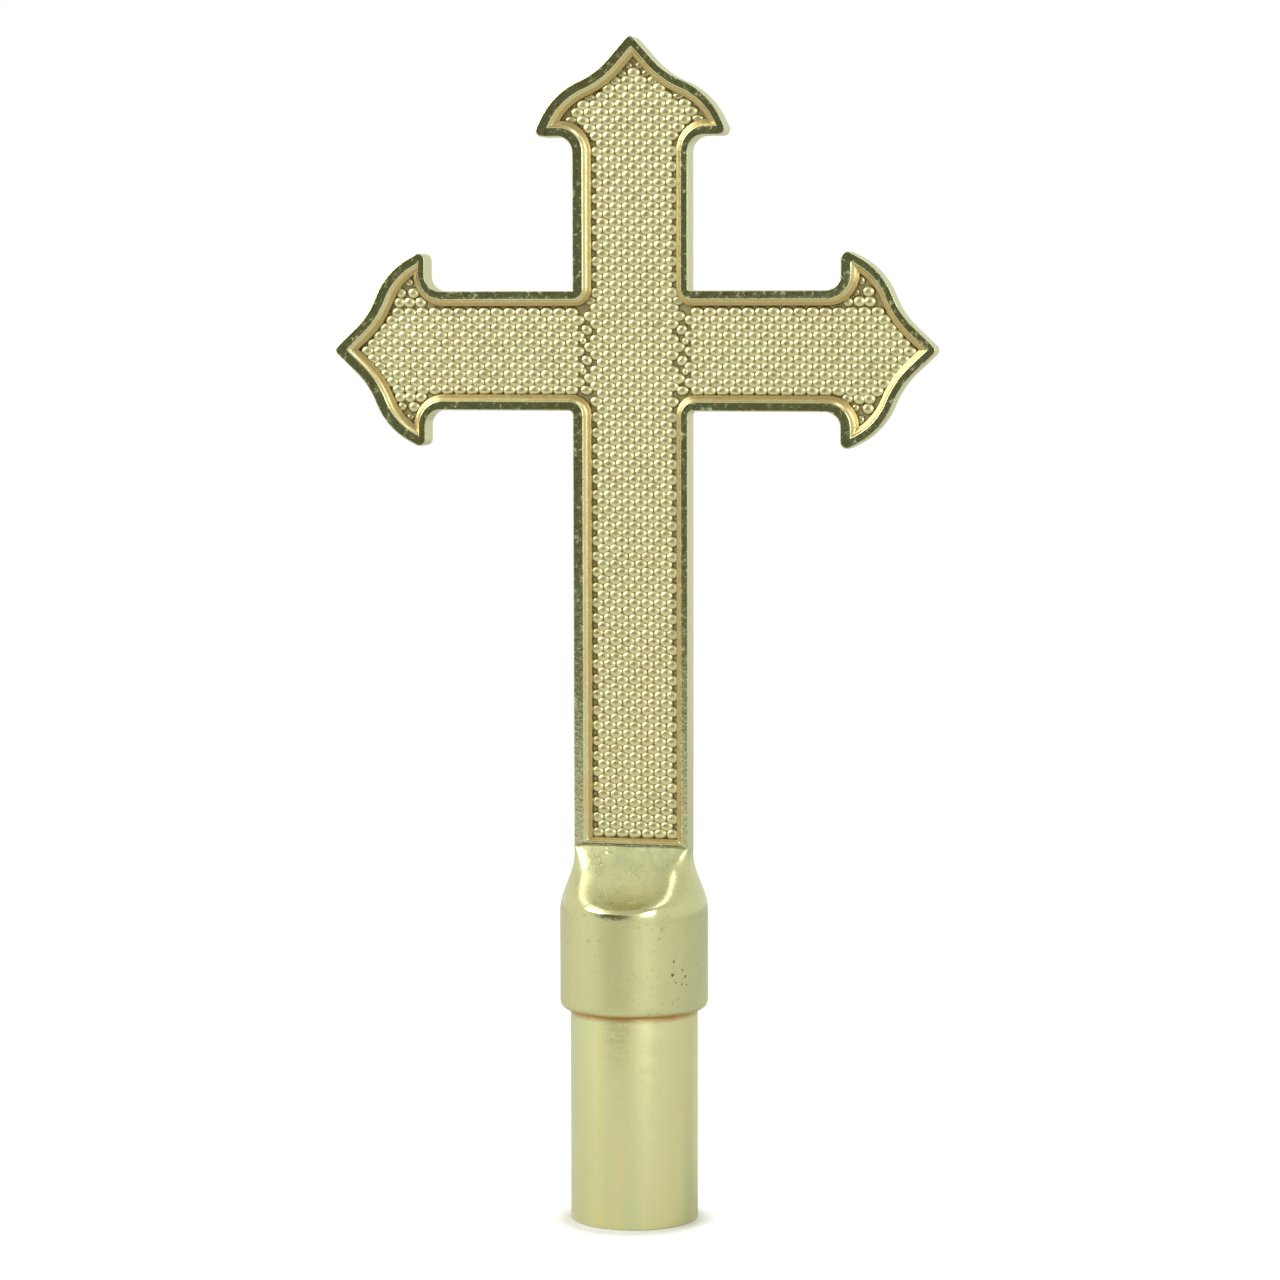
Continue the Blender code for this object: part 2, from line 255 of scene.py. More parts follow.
CEILING_START = 0.3  # heights on a sphere of radius 1 between which the walls turn to the ceiling
CEILING_FULL = 0.8
FLOOR_SIZE = 1.45
FLOOR_GLOW = 0.50  # lifts the floor to the backdrop's white
SHADOW_WIDTH = 0.005  # the glow is faded out this far round the ferrule: its rendered shadow shows there, deepened by a painted shadow where the floor goes without the glow
# middle of that painted shadow, a little in front of the ferrule's axis
SHADOW_PLACE = (0, -0.003, 0)


# The outline, as complex numbers x + z*1j, anticlockwise seen from the front


def arc(start, end, heading):
    """Points after start on the circular arc to end that leaves start in this heading."""
    chord = end - start
    bend = 2 * phase(chord * rect(1, -heading))
    steps = max(5, ceil(abs(chord) / STEP))
    stride = abs(chord) * sin(bend / (2 * steps)) / sin(bend / 2)
    points = [start]
    for k in range(steps):
        points.append(points[-1] + rect(stride, heading + bend * (k + 0.5) / steps))
    return points[1:]


def head(stretch=1.0, spread=1.0, limb=LIMB_HALF):
    """(point, corner radius) down one side of a head, from its point to the limb's corner."""
    flank_heading = phase(FLANK_END)
    inflection_heading = 2 * phase(INFLECTION - FLANK_END) - flank_heading
    shoulder_heading = 2 * phase(SHOULDER_END - INFLECTION) - inflection_heading
    barb_out = SHOULDER_END.imag + (HEAD_LENGTH - SHOULDER_END.real) * tan(shoulder_heading)
    curve = [FLANK_END]
    curve += arc(FLANK_END, INFLECTION, flank_heading)
    curve += arc(INFLECTION, SHOULDER_END, inflection_heading)
    corners = [(0j, POINT_RADIUS)]
    corners += [(point, 0) for point in curve]
    corners.append((complex(HEAD_LENGTH, barb_out), BARB_RADIUS))
    corners = [(complex(stretch * p.real, spread * p.imag), radius) for p, radius in corners]
    return corners + [(complex(stretch * HEAD_LENGTH, limb), SWEEP_RADIUS)]


def rounded(corners):
    """Outline through (point, radius) corners, each with a radius turned into an arc."""
    outline = []
    for k, (corner, radius) in enumerate(corners):
        if radius == 0:
            outline.append(corner)
            continue
        before = corner - corners[k - 1][0]
        after = corners[(k + 1) % len(corners)][0] - corner
        bend = phase(after / before)
        reach = radius * tan(abs(bend) / 2)
        start = corner - rect(reach, phase(before))
        outline.append(start)
        outline += arc(start, corner + rect(reach, phase(after)), phase(before))
    return outline


def stepped(points):
    """The path with its long straight runs cut into short steps."""
    path = [points[0]]
    for start, end in zip(points, points[1:]):
        steps = ceil(abs(end - start) / STEP - TINY)
        path += [start + (end - start) * (k + 1) / steps for k in range(steps)]
    return path


def cross_outline():
    """The side of the cross from its right foot over the top to its left foot, then the foot's
    own points. Also the number of points on the side."""
    arm = head()
    under = head(limb=ARM_UNDER)
    top = head(TOP_HEAD_STRETCH, TOP_HEAD_SPREAD)
    right = [(complex(LIMB_HALF, BLADE_FOOT_Z), 0)]
    right.append((complex(LIMB_HALF, ARM_Z - ARM_UNDER), LOWER_CROTCH_RADIUS))
    right += [(complex(ARM_REACH, ARM_Z) - point, radius) for point, radius in reversed(under)]
    right += [(complex(ARM_REACH, ARM_Z) - point.conjugate(), radius) for point, radius in arm[1:]]
    right.append((complex(LIMB_HALF, ARM_Z + LIMB_HALF), UPPER_CROTCH_RADIUS))
    right += [(complex(point.imag, APEX_Z - point.real), radius) for point, radius in reversed(top)]
    left = [(-point.conjugate(), radius) for point, radius in reversed(right[:-1])]
    side = stepped(rounded(right + left))
    foot = stepped([side[-1], side[0]])[1:-1]
    return side + foot, len(side)


def inset(outline, distance, foot_distance):
    """The outline moved in, point for point. An edge that turns round shrinks to a point."""
    lines = []
    for start, end in zip(outline, outline[1:] + outline[:1]):
        along = (end - start) / abs(end - start)
        on_foot = max(start.imag, end.imag) < BLADE_FOOT_Z + SAME
        lines.append((start + (foot_distance if on_foot else distance) * 1j * along, along))
    kept = list(range(len(lines)))
    turned = {-1}
    while turned:
        starts = {k: meeting(lines[kept[j - 1]], lines[k]) for j, k in enumerate(kept)}
        ends = [starts[k] for k in kept[1:] + kept[:1]]
        pairs = zip(kept, ends)
        turned = {k for k, end in pairs if ((end - starts[k]) / lines[k][1]).real <= 0}
        kept = [k for k in kept if k not in turned]
    moved = []
    place = starts[kept[0]]
    for k in reversed(range(len(lines))):
        place = starts.get(k, place)
        moved.append(place)
    return moved[::-1]


def meeting(first, second):
    """Where two lines meet, each given as a point and a unit direction."""
    cross = (first[1].conjugate() * second[1]).imag
    if abs(cross) < TINY:
        return second[0]
    along = ((second[0] - first[0]).conjugate() * second[1]).imag / cross
    return first[0] + along * first[1]


# The casting


def face_levels():
    """(inset, inset at the foot, half thickness) of each ring from the middle of the wall to the floor."""
    levels = [(0, 0, 0), (0, 0, HALF_THICK * WALL_SHARE)]
    for k in range(ROUND_STEPS + 1):
        angle = pi / 2 * k / ROUND_STEPS
        away = EDGE_ROUND * (1 - cos(angle))
        levels.append((away, 0, HALF_THICK - EDGE_ROUND * (1 - sin(angle))))
    levels.append((EDGE_ROUND + SUPPORT, SUPPORT, HALF_THICK))
    for away, depth in RELIEF:
        foot_away = FOOT_RIM + FOOT_SHARE * (away - RIM_WIDTH)
        levels.append((away, foot_away, HALF_THICK - depth))
    return levels


def level_ring(bm, outline, level, side):
    """Points of one level on the front (side -1) or the back (1)."""
    away, foot_away, half = level
    shift = complex(-side * PANEL_SHIFT.real, PANEL_SHIFT.imag) * away / FLOOR_START
    places = [place + shift for place in inset(outline, away, foot_away)]
    return [bm.verts.new((place.real, side * half, place.imag)) for place in places]


def add_band(bm, lower, upper, finish, skip=()):
    """Ring of quads between two rings of as many points."""
    for k in range(len(lower)):
        if k not in skip:
            after = (k + 1) % len(lower)
            face = bm.faces.new([lower[k], lower[after], upper[after], upper[k]])
            face.material_index = finish


def foot_ring(fronts, backs, side_count):
    """The blade's section at its foot, anticlockwise seen from above, from the front's left corner."""
    front = fronts[RIM_LEVEL]
    back = backs[RIM_LEVEL]
    ring = [front[side_count - 1]] + front[side_count:] + [front[0]]
    ring += [level[0] for level in reversed(fronts[:RIM_LEVEL])]
    ring += [level[0] for level in backs[1:RIM_LEVEL]]
    ring += [back[0]] + back[side_count:][::-1] + [back[side_count - 1]]
    ring += [level[side_count - 1] for level in reversed(backs[:RIM_LEVEL])]
    ring += [level[side_count - 1] for level in fronts[1:RIM_LEVEL]]
    return ring


def flare(z, top, foot):
    """0 above the top, 1 below the foot, and an S curve between."""
    share = min(1, max(0, (top - z) / (top - foot)))
    return (1 - cos(pi * share)) / 2


def smooth_least(first, second, softness):
    """The smaller of two numbers, blended where they are nearly the same."""
    overlap = max(0, softness - abs(first - second))
    return min(first, second) - overlap**2 / (4 * softness)


def unscooped_radius(angle, z):
    """Section that grows from the blade's flat bar into the collar's circle: straight sides, and
    a half ellipse on the front and on the back."""
    half_width = LIMB_HALF + (COLLAR_RADIUS - LIMB_HALF) * flare(z, FLARE_TOP_Z, FLARE_FOOT_Z)
    swell = sin(pi / 2 * min(1, max(0, (SWELL_TOP_Z - z) / (SWELL_TOP_Z - SWELL_FOOT_Z))))
    deep = SWELL_SHARE * swell + (1 - SWELL_SHARE) * flare(z, SHOULDER_TOP_Z, SHOULDER_FOOT_Z)
    side = (1 - deep) * HALF_THICK
    bulge = deep * COLLAR_RADIUS
    across = max(TINY, abs(cos(angle)))
    along = max(TINY, abs(sin(angle)))
    spread = along**2 + (bulge * across / half_width) ** 2
    inside = (side * along) ** 2 - spread * (side**2 - bulge**2)
    reach = (side * along + sqrt(max(0, inside))) / spread
    return half_width / across if reach * along < side else reach


def neck_radius(angle, z):
    """Distance from the axis to the neck's surface in one direction, flared and scooped."""
    outside = unscooped_radius(angle, z)
    rise = SCOOP_RADIUS**2 - (SCOOP_Z - z) ** 2
    if rise <= 0:
        return outside
    scoop = max(HALF_THICK, SCOOP_Y - sqrt(rise)) / max(TINY, abs(sin(angle)))
    down = min(1, max(0, (BLADE_FOOT_Z - z) / (BLADE_FOOT_Z - SCOOP_FOOT_Z)))
    return smooth_least(outside, scoop, SIDE_EDGE + (LIP_EDGE - SIDE_EDGE) * down**3)


def same_all_round(radius):
    """A section's radius as a function, for a plain round one."""
    return lambda angle, z: radius


def neck_sections():
    """(height, radius as a function of direction) of the rings from the blade's foot to the bores."""
    sections = []
    shaped = ceil((BLADE_FOOT_Z - COLLAR_TOP_Z) / NECK_STEP)
    for z in np.linspace(BLADE_FOOT_Z, COLLAR_TOP_Z, shaped + 1)[1:]:
        sections.append((z, neck_radius))
    for z in np.linspace(COLLAR_TOP_Z, COLLAR_FOOT_Z + LIP_RADIUS, COLLAR_RINGS + 1)[1:]:
        sections.append((z, neck_radius))
    for k in range(1, LIP_STEPS + 1):
        angle = pi / 2 * k / LIP_STEPS
        radius = COLLAR_RADIUS - LIP_RADIUS * (1 - cos(angle))
        sections.append((COLLAR_FOOT_Z + LIP_RADIUS * (1 - sin(angle)), same_all_round(radius)))
    sections.append((COLLAR_FOOT_Z, same_all_round(SOCKET_RADIUS)))
    sections.append((SOCKET_TOP_Z, same_all_round(SOCKET_RADIUS)))
    sections.append((SOCKET_TOP_Z, same_all_round(HOLE_RADIUS)))
    sections.append((HOLE_TOP_Z, same_all_round(HOLE_RADIUS)))
    return sections


def add_neck(bm, ring):
    """Loft from the blade's foot down over the collar and up inside it."""
    angles = [atan2(vert.co.y, vert.co.x) for vert in ring]
    for z, radius in neck_sections():
        lower = []
        for angle in angles:
            reach = radius(angle, z)
            lower.append(bm.verts.new((reach * cos(angle), reach * sin(angle), z)))
        add_band(bm, ring, lower, NECK)
        ring = lower
    bm.faces.new(ring).material_index = NECK


def casting_mesh():
    """One closed skin: both faces with their relief, the neck, the collar, its socket and screw hole."""
    outline, side_count = cross_outline()
    levels = face_levels()
    on_foot = range(side_count - 1, len(outline))
    bm = bmesh.new()
    middle = level_ring(bm, outline, levels[0], 1)
    faces = []
    for side in (-1, 1):
        rings = [middle] + [level_ring(bm, outline, level, side) for level in levels[1:]]
        for k in range(len(rings) - 1):
            skip = on_foot if k < RIM_LEVEL else ()
            add_band(bm, rings[k], rings[k + 1], finish_of_level(k), skip)
        bm.faces.new(rings[-1]).material_index = FLOOR
        faces.append(rings)
    add_neck(bm, foot_ring(*faces, side_count))
    loose = [vert for vert in bm.verts if not vert.link_faces]
    bmesh.ops.delete(bm, geom=loose, context="VERTS")
    bmesh.ops.remove_doubles(bm, verts=bm.verts, dist=MERGE)
    bmesh.ops.recalc_face_normals(bm, faces=bm.faces)
    roughen(bm)
    return finished_mesh("cross_body", bm, CASTING_CREASE)


def finish_of_level(k):
    """Finish of the faces between level k and the next."""
    if k < RIM_START:
        return WALL
    if k < RIM_END:
        return RIM
    return FLOOR if k > BAND_LAST else BAND


def roughen(bm):
    """Shallow waves left by the mould and by hand polishing. They add up to between -1.5 and 1.5,
    and all of them go inwards."""
    bm.normal_update()
    moves = []
    for vert in bm.verts:
        wave = noise.noise(vert.co * LONG_WAVES) + 0.5 * noise.noise(vert.co * SHORT_WAVES)
        moves.append(vert.normal * (WAVE_DEPTH * (wave - 1.5) / 3))
    for vert, move in zip(bm.verts, moves):
        vert.co += move


def finished_mesh(name, bm, crease):
    mesh = bpy.data.meshes.new(name)
    bm.to_mesh(mesh)
    bm.free()
    mesh.shade_smooth()
    mesh.set_sharp_from_angle(angle=radians(crease))
    return mesh


def add_piece(name, mesh, finishes):
    piece = bpy.data.objects.new(name, mesh)
    bpy.context.scene.collection.objects.link(piece)
    for finish in finishes:
        mesh.materials.append(finish)
    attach(piece, "root")
    return piece


# The beads


def clearance(place, edge):
    """Distance from a place to a closed outline, negative outside it, and the way in from there."""
    ends = np.roll(edge, -1)
    along = ends - edge
    share = np.clip(((place - edge) * along.conj()).real / abs(along) ** 2, 0, 1)
    gaps = place - (edge + share * along)
    gap = gaps[abs(gaps).argmin()]
    inside = abs(np.angle((ends - place) / (edge - place)).sum()) > pi
    return (abs(gap), gap / abs(gap)) if inside else (-abs(gap), -gap / abs(gap))


def upright_beads():
    """Staggered rows of the upright. Where it crosses the arms they run 6, 7, 8 and 7 beads wide."""
    for row in UPRIGHT_ROWS:
        z = UPRIGHT_ROW_Z - row * ROW_PITCH
        crossing = abs(z - ARM_Z) < LIMB_HALF - FLOOR_START + ROW_PITCH / 2
        fewer = min(row % 4, -row % 4)
        count = CROSSING_BEADS - fewer if crossing else UPRIGHT_BEADS + row % 2
        for k in range(count):
            x = PATTERN_X + (k - (count - 1) / 2) * BEAD_PITCH
            yield complex(x, z), BEAD_HALF_WIDTH, BEAD_HALF_HEIGHT, 0


def arm_beads():
    """Staggered rows of both arms, from the crossing out."""
    for row in ARM_ROWS:
        z = ARM_ROW_Z - row * ROW_PITCH
        for k in range(ARM_BEADS):
            out = ARM_FIRST_BEAD + (k + (row % 2) / 2) * BEAD_PITCH
            for side in (-1, 1):
                yield complex(PATTERN_X + side * out, z), BEAD_HALF_WIDTH, BEAD_HALF_HEIGHT, 0


def loose_beads():
    """Beads set one by one: in the arms' barbs, and in the seams beside the crossing."""
    for place in BARB_BEADS:
        for side in (-1, 1):
            for way in (-1, 1):
                spot = complex(side * (ARM_REACH - place.real), ARM_Z + way * place.imag)
                yield spot, BARB_BEAD_WIDTH, BARB_BEAD_HEIGHT, BARB_BEAD_TILT * way * side
    for out, up, wide, high, tilt in SEAM_BEADS:
        for side in (-1, 1):
            yield complex(PATTERN_X + side * out, ARM_Z + up), wide, high, side * tilt


def fitted_beads(edge):
    """(place, half width, half height, rise, tilt) of every bead, those at the edge squeezed in."""
    draw = Random(BEAD_SEED)
    beads = []
    for place, wide, high, tilt in chain(upright_beads(), arm_beads(), loose_beads()):
        place += complex(draw.gauss(0, BEAD_SHIFT), draw.gauss(0, BEAD_SHIFT))
        rise = BEAD_RISE * draw.gauss(1, BEAD_SPREAD)
        gap, inwards = clearance(place, edge)
        size = hypot(wide * inwards.real, high * inwards.imag)
        need = (1 - EDGE_OVERLAP) * size
        if gap < -EDGE_BITE * size:
            continue
        if gap < need:
            place += inwards * (need - gap) / 2
            share = (need + gap) / (2 * need)
            wide *= 1 - (1 - share) * abs(inwards.real)
            high *= 1 - (1 - share) * abs(inwards.imag)
            rise *= EDGE_RISE + (1 - EDGE_RISE) * share
        beads.append((place, wide, high, rise, tilt + draw.gauss(0, BEAD_TILT)))
    return beads


def bead_mesh(name, beads, side):
    """Low domes with closed bases, sunk a little in the panel's floor. The back is the front mirrored."""
    verts = []
    faces = []
    floor_y = HALF_THICK - FLOOR_DEPTH - BEAD_SINK
    for place, wide, high, rise, tilt in beads:
        first = len(verts)
        for ring in range(BEAD_RINGS):
            climb = pi / 2 * ring / BEAD_RINGS
            for k in range(BEAD_SIDES):
                turn = 2 * pi * k / BEAD_SIDES
                spot = complex(wide * cos(turn), high * sin(turn)) * cos(climb) * rect(1, tilt) + place
                verts.append((-side * spot.real, side * (floor_y + rise * sin(climb)), spot.imag))
        verts.append((-side * place.real, side * (floor_y + rise), place.imag))
        for ring in range(BEAD_RINGS - 1):
            for k in range(BEAD_SIDES):
                near = first + ring * BEAD_SIDES
                after = (k + 1) % BEAD_SIDES
                faces.append((near + k, near + after, near + BEAD_SIDES + after, near + BEAD_SIDES + k))
        top = first + (BEAD_RINGS - 1) * BEAD_SIDES
        for k in range(BEAD_SIDES):
            faces.append((top + k, top + (k + 1) % BEAD_SIDES, len(verts) - 1))
        faces.append(tuple(first + k for k in reversed(range(BEAD_SIDES))))
    mesh = bpy.data.meshes.new(name)
    mesh.from_pydata(verts, [], faces)
    mesh.shade_smooth()
    mesh.set_sharp_from_angle(angle=radians(BEAD_CREASE))
    return mesh


def add_beads():
    outline, _ = cross_outline()
    edge = np.array(inset(outline, FLOOR_START, FLOOR_FOOT)) + PANEL_SHIFT
    edge = edge[abs(edge - np.roll(edge, 1)) > SAME]
    beads = fitted_beads(edge)
    for name, side in (("beads_front", -1), ("beads_back", 1)):
        add_piece(name, bead_mesh(name, beads, side), [bead_brass()])


# The ferrule


def turned_mesh(name, profile):
    """Closed ring of revolution through (radius, height) points."""
    bm = bmesh.new()
    rings = []
    angles = [2 * pi * k / TUBE_STEPS for k in range(TUBE_STEPS)]
    for radius, height in profile:
        rings.append([bm.verts.new((radius * cos(a), radius * sin(a), height)) for a in angles])
    for lower, upper in zip(rings, rings[1:] + rings[:1]):
        add_band(bm, lower, upper, 0)
    bmesh.ops.recalc_face_normals(bm, faces=bm.faces)
    return finished_mesh(name, bm, TUBE_CREASE)


def add_ferrule():
    """Drawn tube with its cut ends softened by a quarter round."""
    _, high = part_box("ferrule_tube")
    profile = []
    for radius, z, start in (
        (TUBE_RADIUS - TUBE_EDGE, TUBE_EDGE, -pi / 2),
        (TUBE_RADIUS - TUBE_EDGE, high.z - TUBE_EDGE, 0),
        (TUBE_BORE + TUBE_EDGE, high.z - TUBE_EDGE, pi / 2),
        (TUBE_BORE + TUBE_EDGE, TUBE_EDGE, pi),
    ):
        for k in range(TUBE_EDGE_STEPS + 1):
            angle = start + pi / 2 * k / TUBE_EDGE_STEPS
            profile.append((radius + TUBE_EDGE * cos(angle), z + TUBE_EDGE * sin(angle)))
    tube = add_piece("ferrule", turned_mesh("ferrule", profile), [tube_brass()])
    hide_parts("ferrule_tube")


# Finishes


class Nodes:
    """A node tree under construction."""

    def __init__(self, tree):
        self.tree = tree

    def add(self, kind, inputs=None, **settings):
        node = self.tree.nodes.new("ShaderNode" + kind)
        for name, value in settings.items():
            setattr(node, name, value)
        for name, value in (inputs or {}).items():
            self.plug(node.inputs[name], value)
        return node

    def plug(self, socket, value):
        """Give a socket a link, a number, a vector or a colour."""
        if isinstance(value, bpy.types.NodeSocket):
            self.tree.links.new(value, socket)
        elif socket.type == "RGBA":
            socket.default_value = (*value, 1)
        else:
            socket.default_value = value

    def math(self, operation, first, second, third=0.0):
        node = self.add("Math", {0: first, 1: second, 2: third}, operation=operation)
        return node.outputs[0]

    def spread(self, value, low, high, to_low=0.0, to_high=1.0):
        """The value stretched from one range to another, and kept inside it."""
        inputs = {"Value": value, "From Min": low, "From Max": high, "To Min": to_low, "To Max": to_high}
        return self.add("MapRange", inputs).outputs["Result"]

    def mix(self, share, first, second):
        """Colour between two, by the share of the second."""
        node = self.add("Mix", {"Factor": share}, data_type="RGBA")
        ends = [socket for socket in node.inputs if socket.type == "RGBA"]
        self.plug(ends[0], first)
        self.plug(ends[1], second)
        return next(socket for socket in node.outputs if socket.type == "RGBA")


class Finish(Nodes):
    """A material under construction. Its noises run through the object's own space, in metres."""

    def __init__(self, name):
        self.material = bpy.data.materials.new(name)
        self.material.use_nodes = True
        super().__init__(self.material.node_tree)
        self.shader = self.tree.nodes["Principled BSDF"]
        self.place = self.add("TexCoord").outputs["Object"]

    def noise(self, scale, detail=3.0, stretch=(1, 1, 1)):
        where = self.add("Mapping", {"Vector": self.place, "Scale": stretch}).outputs["Vector"]
        inputs = {"Vector": where, "Scale": scale, "Detail": detail, "Roughness": 0.6}
        return self.add("TexNoise", inputs).outputs["Fac"]

    def patches(self, scale, detail=3.0, stretch=(1, 1, 1)):
        """Soft patches of 1 on 0, about half and half."""
        return self.spread(self.noise(scale, detail, stretch), 0.35, 0.65)

    def uneven(self, scale, low, high):
        """A roughness that wanders between two values."""
        return self.spread(self.noise(scale), 0.3, 0.7, low, high)

    def height(self):
        return self.add("SeparateXYZ", {"Vector": self.place}).outputs["Z"]

    def ragged_height(self, scale, depth):
        """The height, with noise of this depth added, for edges that aren't straight."""
        return self.math("MULTIPLY_ADD", self.noise(scale), depth, self.height())

    def depth(self):
        """Depth below the flat faces, in metres."""
        across = self.add("SeparateXYZ", {"Vector": self.place}).outputs["Y"]
        return self.math("SUBTRACT", HALF_THICK, self.math("ABSOLUTE", across, 0.0))

    def near(self, spot, radius, stretch=(1, 1, 1)):
        """1 close to a spot, fading to 0 at the radius. A stretch of 0 leaves that direction out."""
        where = self.add("Mapping", {"Vector": self.place, "Scale": stretch}).outputs["Vector"]
        gap = self.add("VectorMath", {0: where, 1: spot}, operation="DISTANCE").outputs["Value"]
        return self.spread(gap, 0.6 * radius, radius, 1, 0)

    def nearest(self, spots):
        """The same for a list of spots, each with its radius."""
        most = 0.0
        for spot, radius in spots:
            most = self.math("MAXIMUM", most, self.near(spot, radius))
        return most

    def done(self, colour, roughness, *bumps):
        """bumps are (height, depth in metres)."""
        normal = None
        for height, depth in bumps:
            inputs = {"Height": height, "Distance": depth, "Strength": 1.0}
            if normal:
                inputs["Normal"] = normal
            normal = self.add("Bump", inputs).outputs["Normal"]
        self.plug(self.shader.inputs["Base Color"], colour)
        self.plug(self.shader.inputs["Metallic"], 1.0)
        self.plug(self.shader.inputs["Roughness"], roughness)
        self.plug(self.shader.inputs["Normal"], normal)
        return self.material


def rim_brass():
    """Polished by hand: scuffs, small dark pits, a browner patina in places."""
    finish = Finish("rim_brass")
    patches = finish.spread(finish.noise(70), 0.4, 0.65)
    colour = finish.mix(patches, (0.60, 0.62, 0.36), (0.60, 0.55, 0.30))
    specks = finish.spread(finish.noise(2200, 2), 0.58, 0.68)
    colour = finish.mix(specks, colour, PIT)
    scuffs = finish.spread(finish.noise(1000, 4), 0.54, 0.70)
    roughness = finish.math("MULTIPLY_ADD", scuffs, 0.28, finish.uneven(900, 0.10, 0.20))
    grain = finish.noise(1600, 4)
    waves = finish.noise(380, 2)
    return finish.done(colour, roughness, (grain, 0.00003), (waves, 0.00003))


def wall_brass():
    """Plain satin brass, a little greener in places."""
    finish = Finish("wall_brass")
    colour = finish.mix(finish.patches(120), GREENISH, BRASS)
    return finish.done(colour, finish.uneven(700, 0.30, 0.42), (finish.noise(900, 4), 0.00003))


def band_brass():
    """The sloping band round each panel, warm where the lacquer has yellowed, and brown at its foot beside
    the beads: painted shade.
    """
    finish = Finish("band_brass")
    colour = finish.mix(finish.patches(220), BRASS, WARM)
    # the lower slope turns brown: painted shade beside the beads
    sunk = finish.math("MULTIPLY_ADD", finish.noise(600), 0.00012, finish.depth())
    foot = finish.spread(sunk, BAND_SHADE_START, BAND_SHADE_FULL)
    colour = finish.mix(foot, colour, BROWN)
    grain = finish.noise(1500, 4)
    waves = finish.noise(420, 2)
    return finish.done(colour, finish.uneven(900, 0.24, 0.36), (grain, 0.00002), (waves, 0.00003))


def floor_brass():
    """The panel's floor between the beads, dull, and darker than the brass round it: painted shade in the
    recess.
    """
    finish = Finish("floor_brass")
    # both tones are darker than the brass: painted shade at the bottom of the recess
    colour = finish.mix(finish.patches(800), (0.42, 0.37, 0.19), (0.32, 0.27, 0.13))
    return finish.done(colour, 0.45, (finish.noise(2400, 4), 0.00003))


def bead_brass():
    """As cast and lacquered, with painted shade low in the valleys between the beads."""
    finish = Finish("bead_brass")
    shaded_depth = FLOOR_DEPTH - BEAD_SHADE_FADE_START * BEAD_RISE
    unshaded_depth = FLOOR_DEPTH - BEAD_SHADE_FADE_END * BEAD_RISE
    # the lower parts of the beads, in the valleys, turn dark: painted shade
    high = finish.spread(finish.depth(), shaded_depth, unshaded_depth)
    bead_colour = finish.mix(finish.patches(90, 2), (0.64, 0.61, 0.33), (0.66, 0.59, 0.32))
    colour = finish.mix(high, VALLEY_SHADE, bead_colour)
    return finish.done(colour, finish.uneven(1300, 0.26, 0.38), (finish.noise(2600, 3), 0.00002))


def collar_pits(finish):
    """Mask of the casting pits, broken up by noise."""
    spots = [((x, -sqrt(COLLAR_RADIUS**2 - x**2), z), radius) for x, z, radius in COLLAR_PITS]
    return finish.math("MULTIPLY", finish.nearest(spots), finish.spread(finish.noise(3000, 2), 0.35, 0.5))


def neck_spatter(finish):
    """Mask of the patches of small lumps."""
    spots = [((x, y, z), radius) for x, y, z, radius in SPATTER]
    return finish.math("MULTIPLY", finish.nearest(spots), finish.spread(finish.noise(1500, 2), 0.52, 0.60))


def neck_brass():
    """Satin, but polished over the shoulder: soft streaks, specks, pits on the collar, small lumps
    above it, and a brown painted shade and reflection in the corner where the lip meets the tube."""
    finish = Finish("neck_brass")
    streaks = finish.patches(160, 3, (1, 1, 0.12))
    colour = finish.mix(streaks, (0.54, 0.55, 0.295), (0.61, 0.585, 0.30))
    height = finish.ragged_height(500, 0.0004)
    # a brown band at the foot of the lip: painted shade and reflection of the corner where the lip meets
    # the tube
    joint_shade = finish.spread(height, COLLAR_FOOT_Z + 0.0012, COLLAR_FOOT_Z + 0.0002)
    colour = finish.mix(joint_shade, colour, JOINT_SHADE_BROWN)
    specks = finish.spread(finish.noise(1100, 2), 0.64, 0.72, 0, 0.6)
    colour = finish.mix(specks, colour, BROWN)
    pits = collar_pits(finish)
    colour = finish.mix(pits, colour, DEEP_PIT)
    above = finish.spread(finish.height(), POLISH_FOOT_Z, POLISH_TOP_Z)
    below = finish.spread(finish.height(), FACET_FOOT_Z, FACET_TOP_Z, 1, 0.3)
    polished = finish.math("MULTIPLY", above, below)
    roughness = finish.math("MULTIPLY_ADD", polished, -0.20, finish.uneven(600, 0.30, 0.40))
    grain = finish.noise(1400, 4)
    waves = finish.noise(110, 2)
    lumps = neck_spatter(finish)
    bumps = [(grain, 0.00003), (waves, 0.00016), (pits, -0.0001), (lumps, 0.00012)]
    return finish.done(colour, roughness, *bumps)


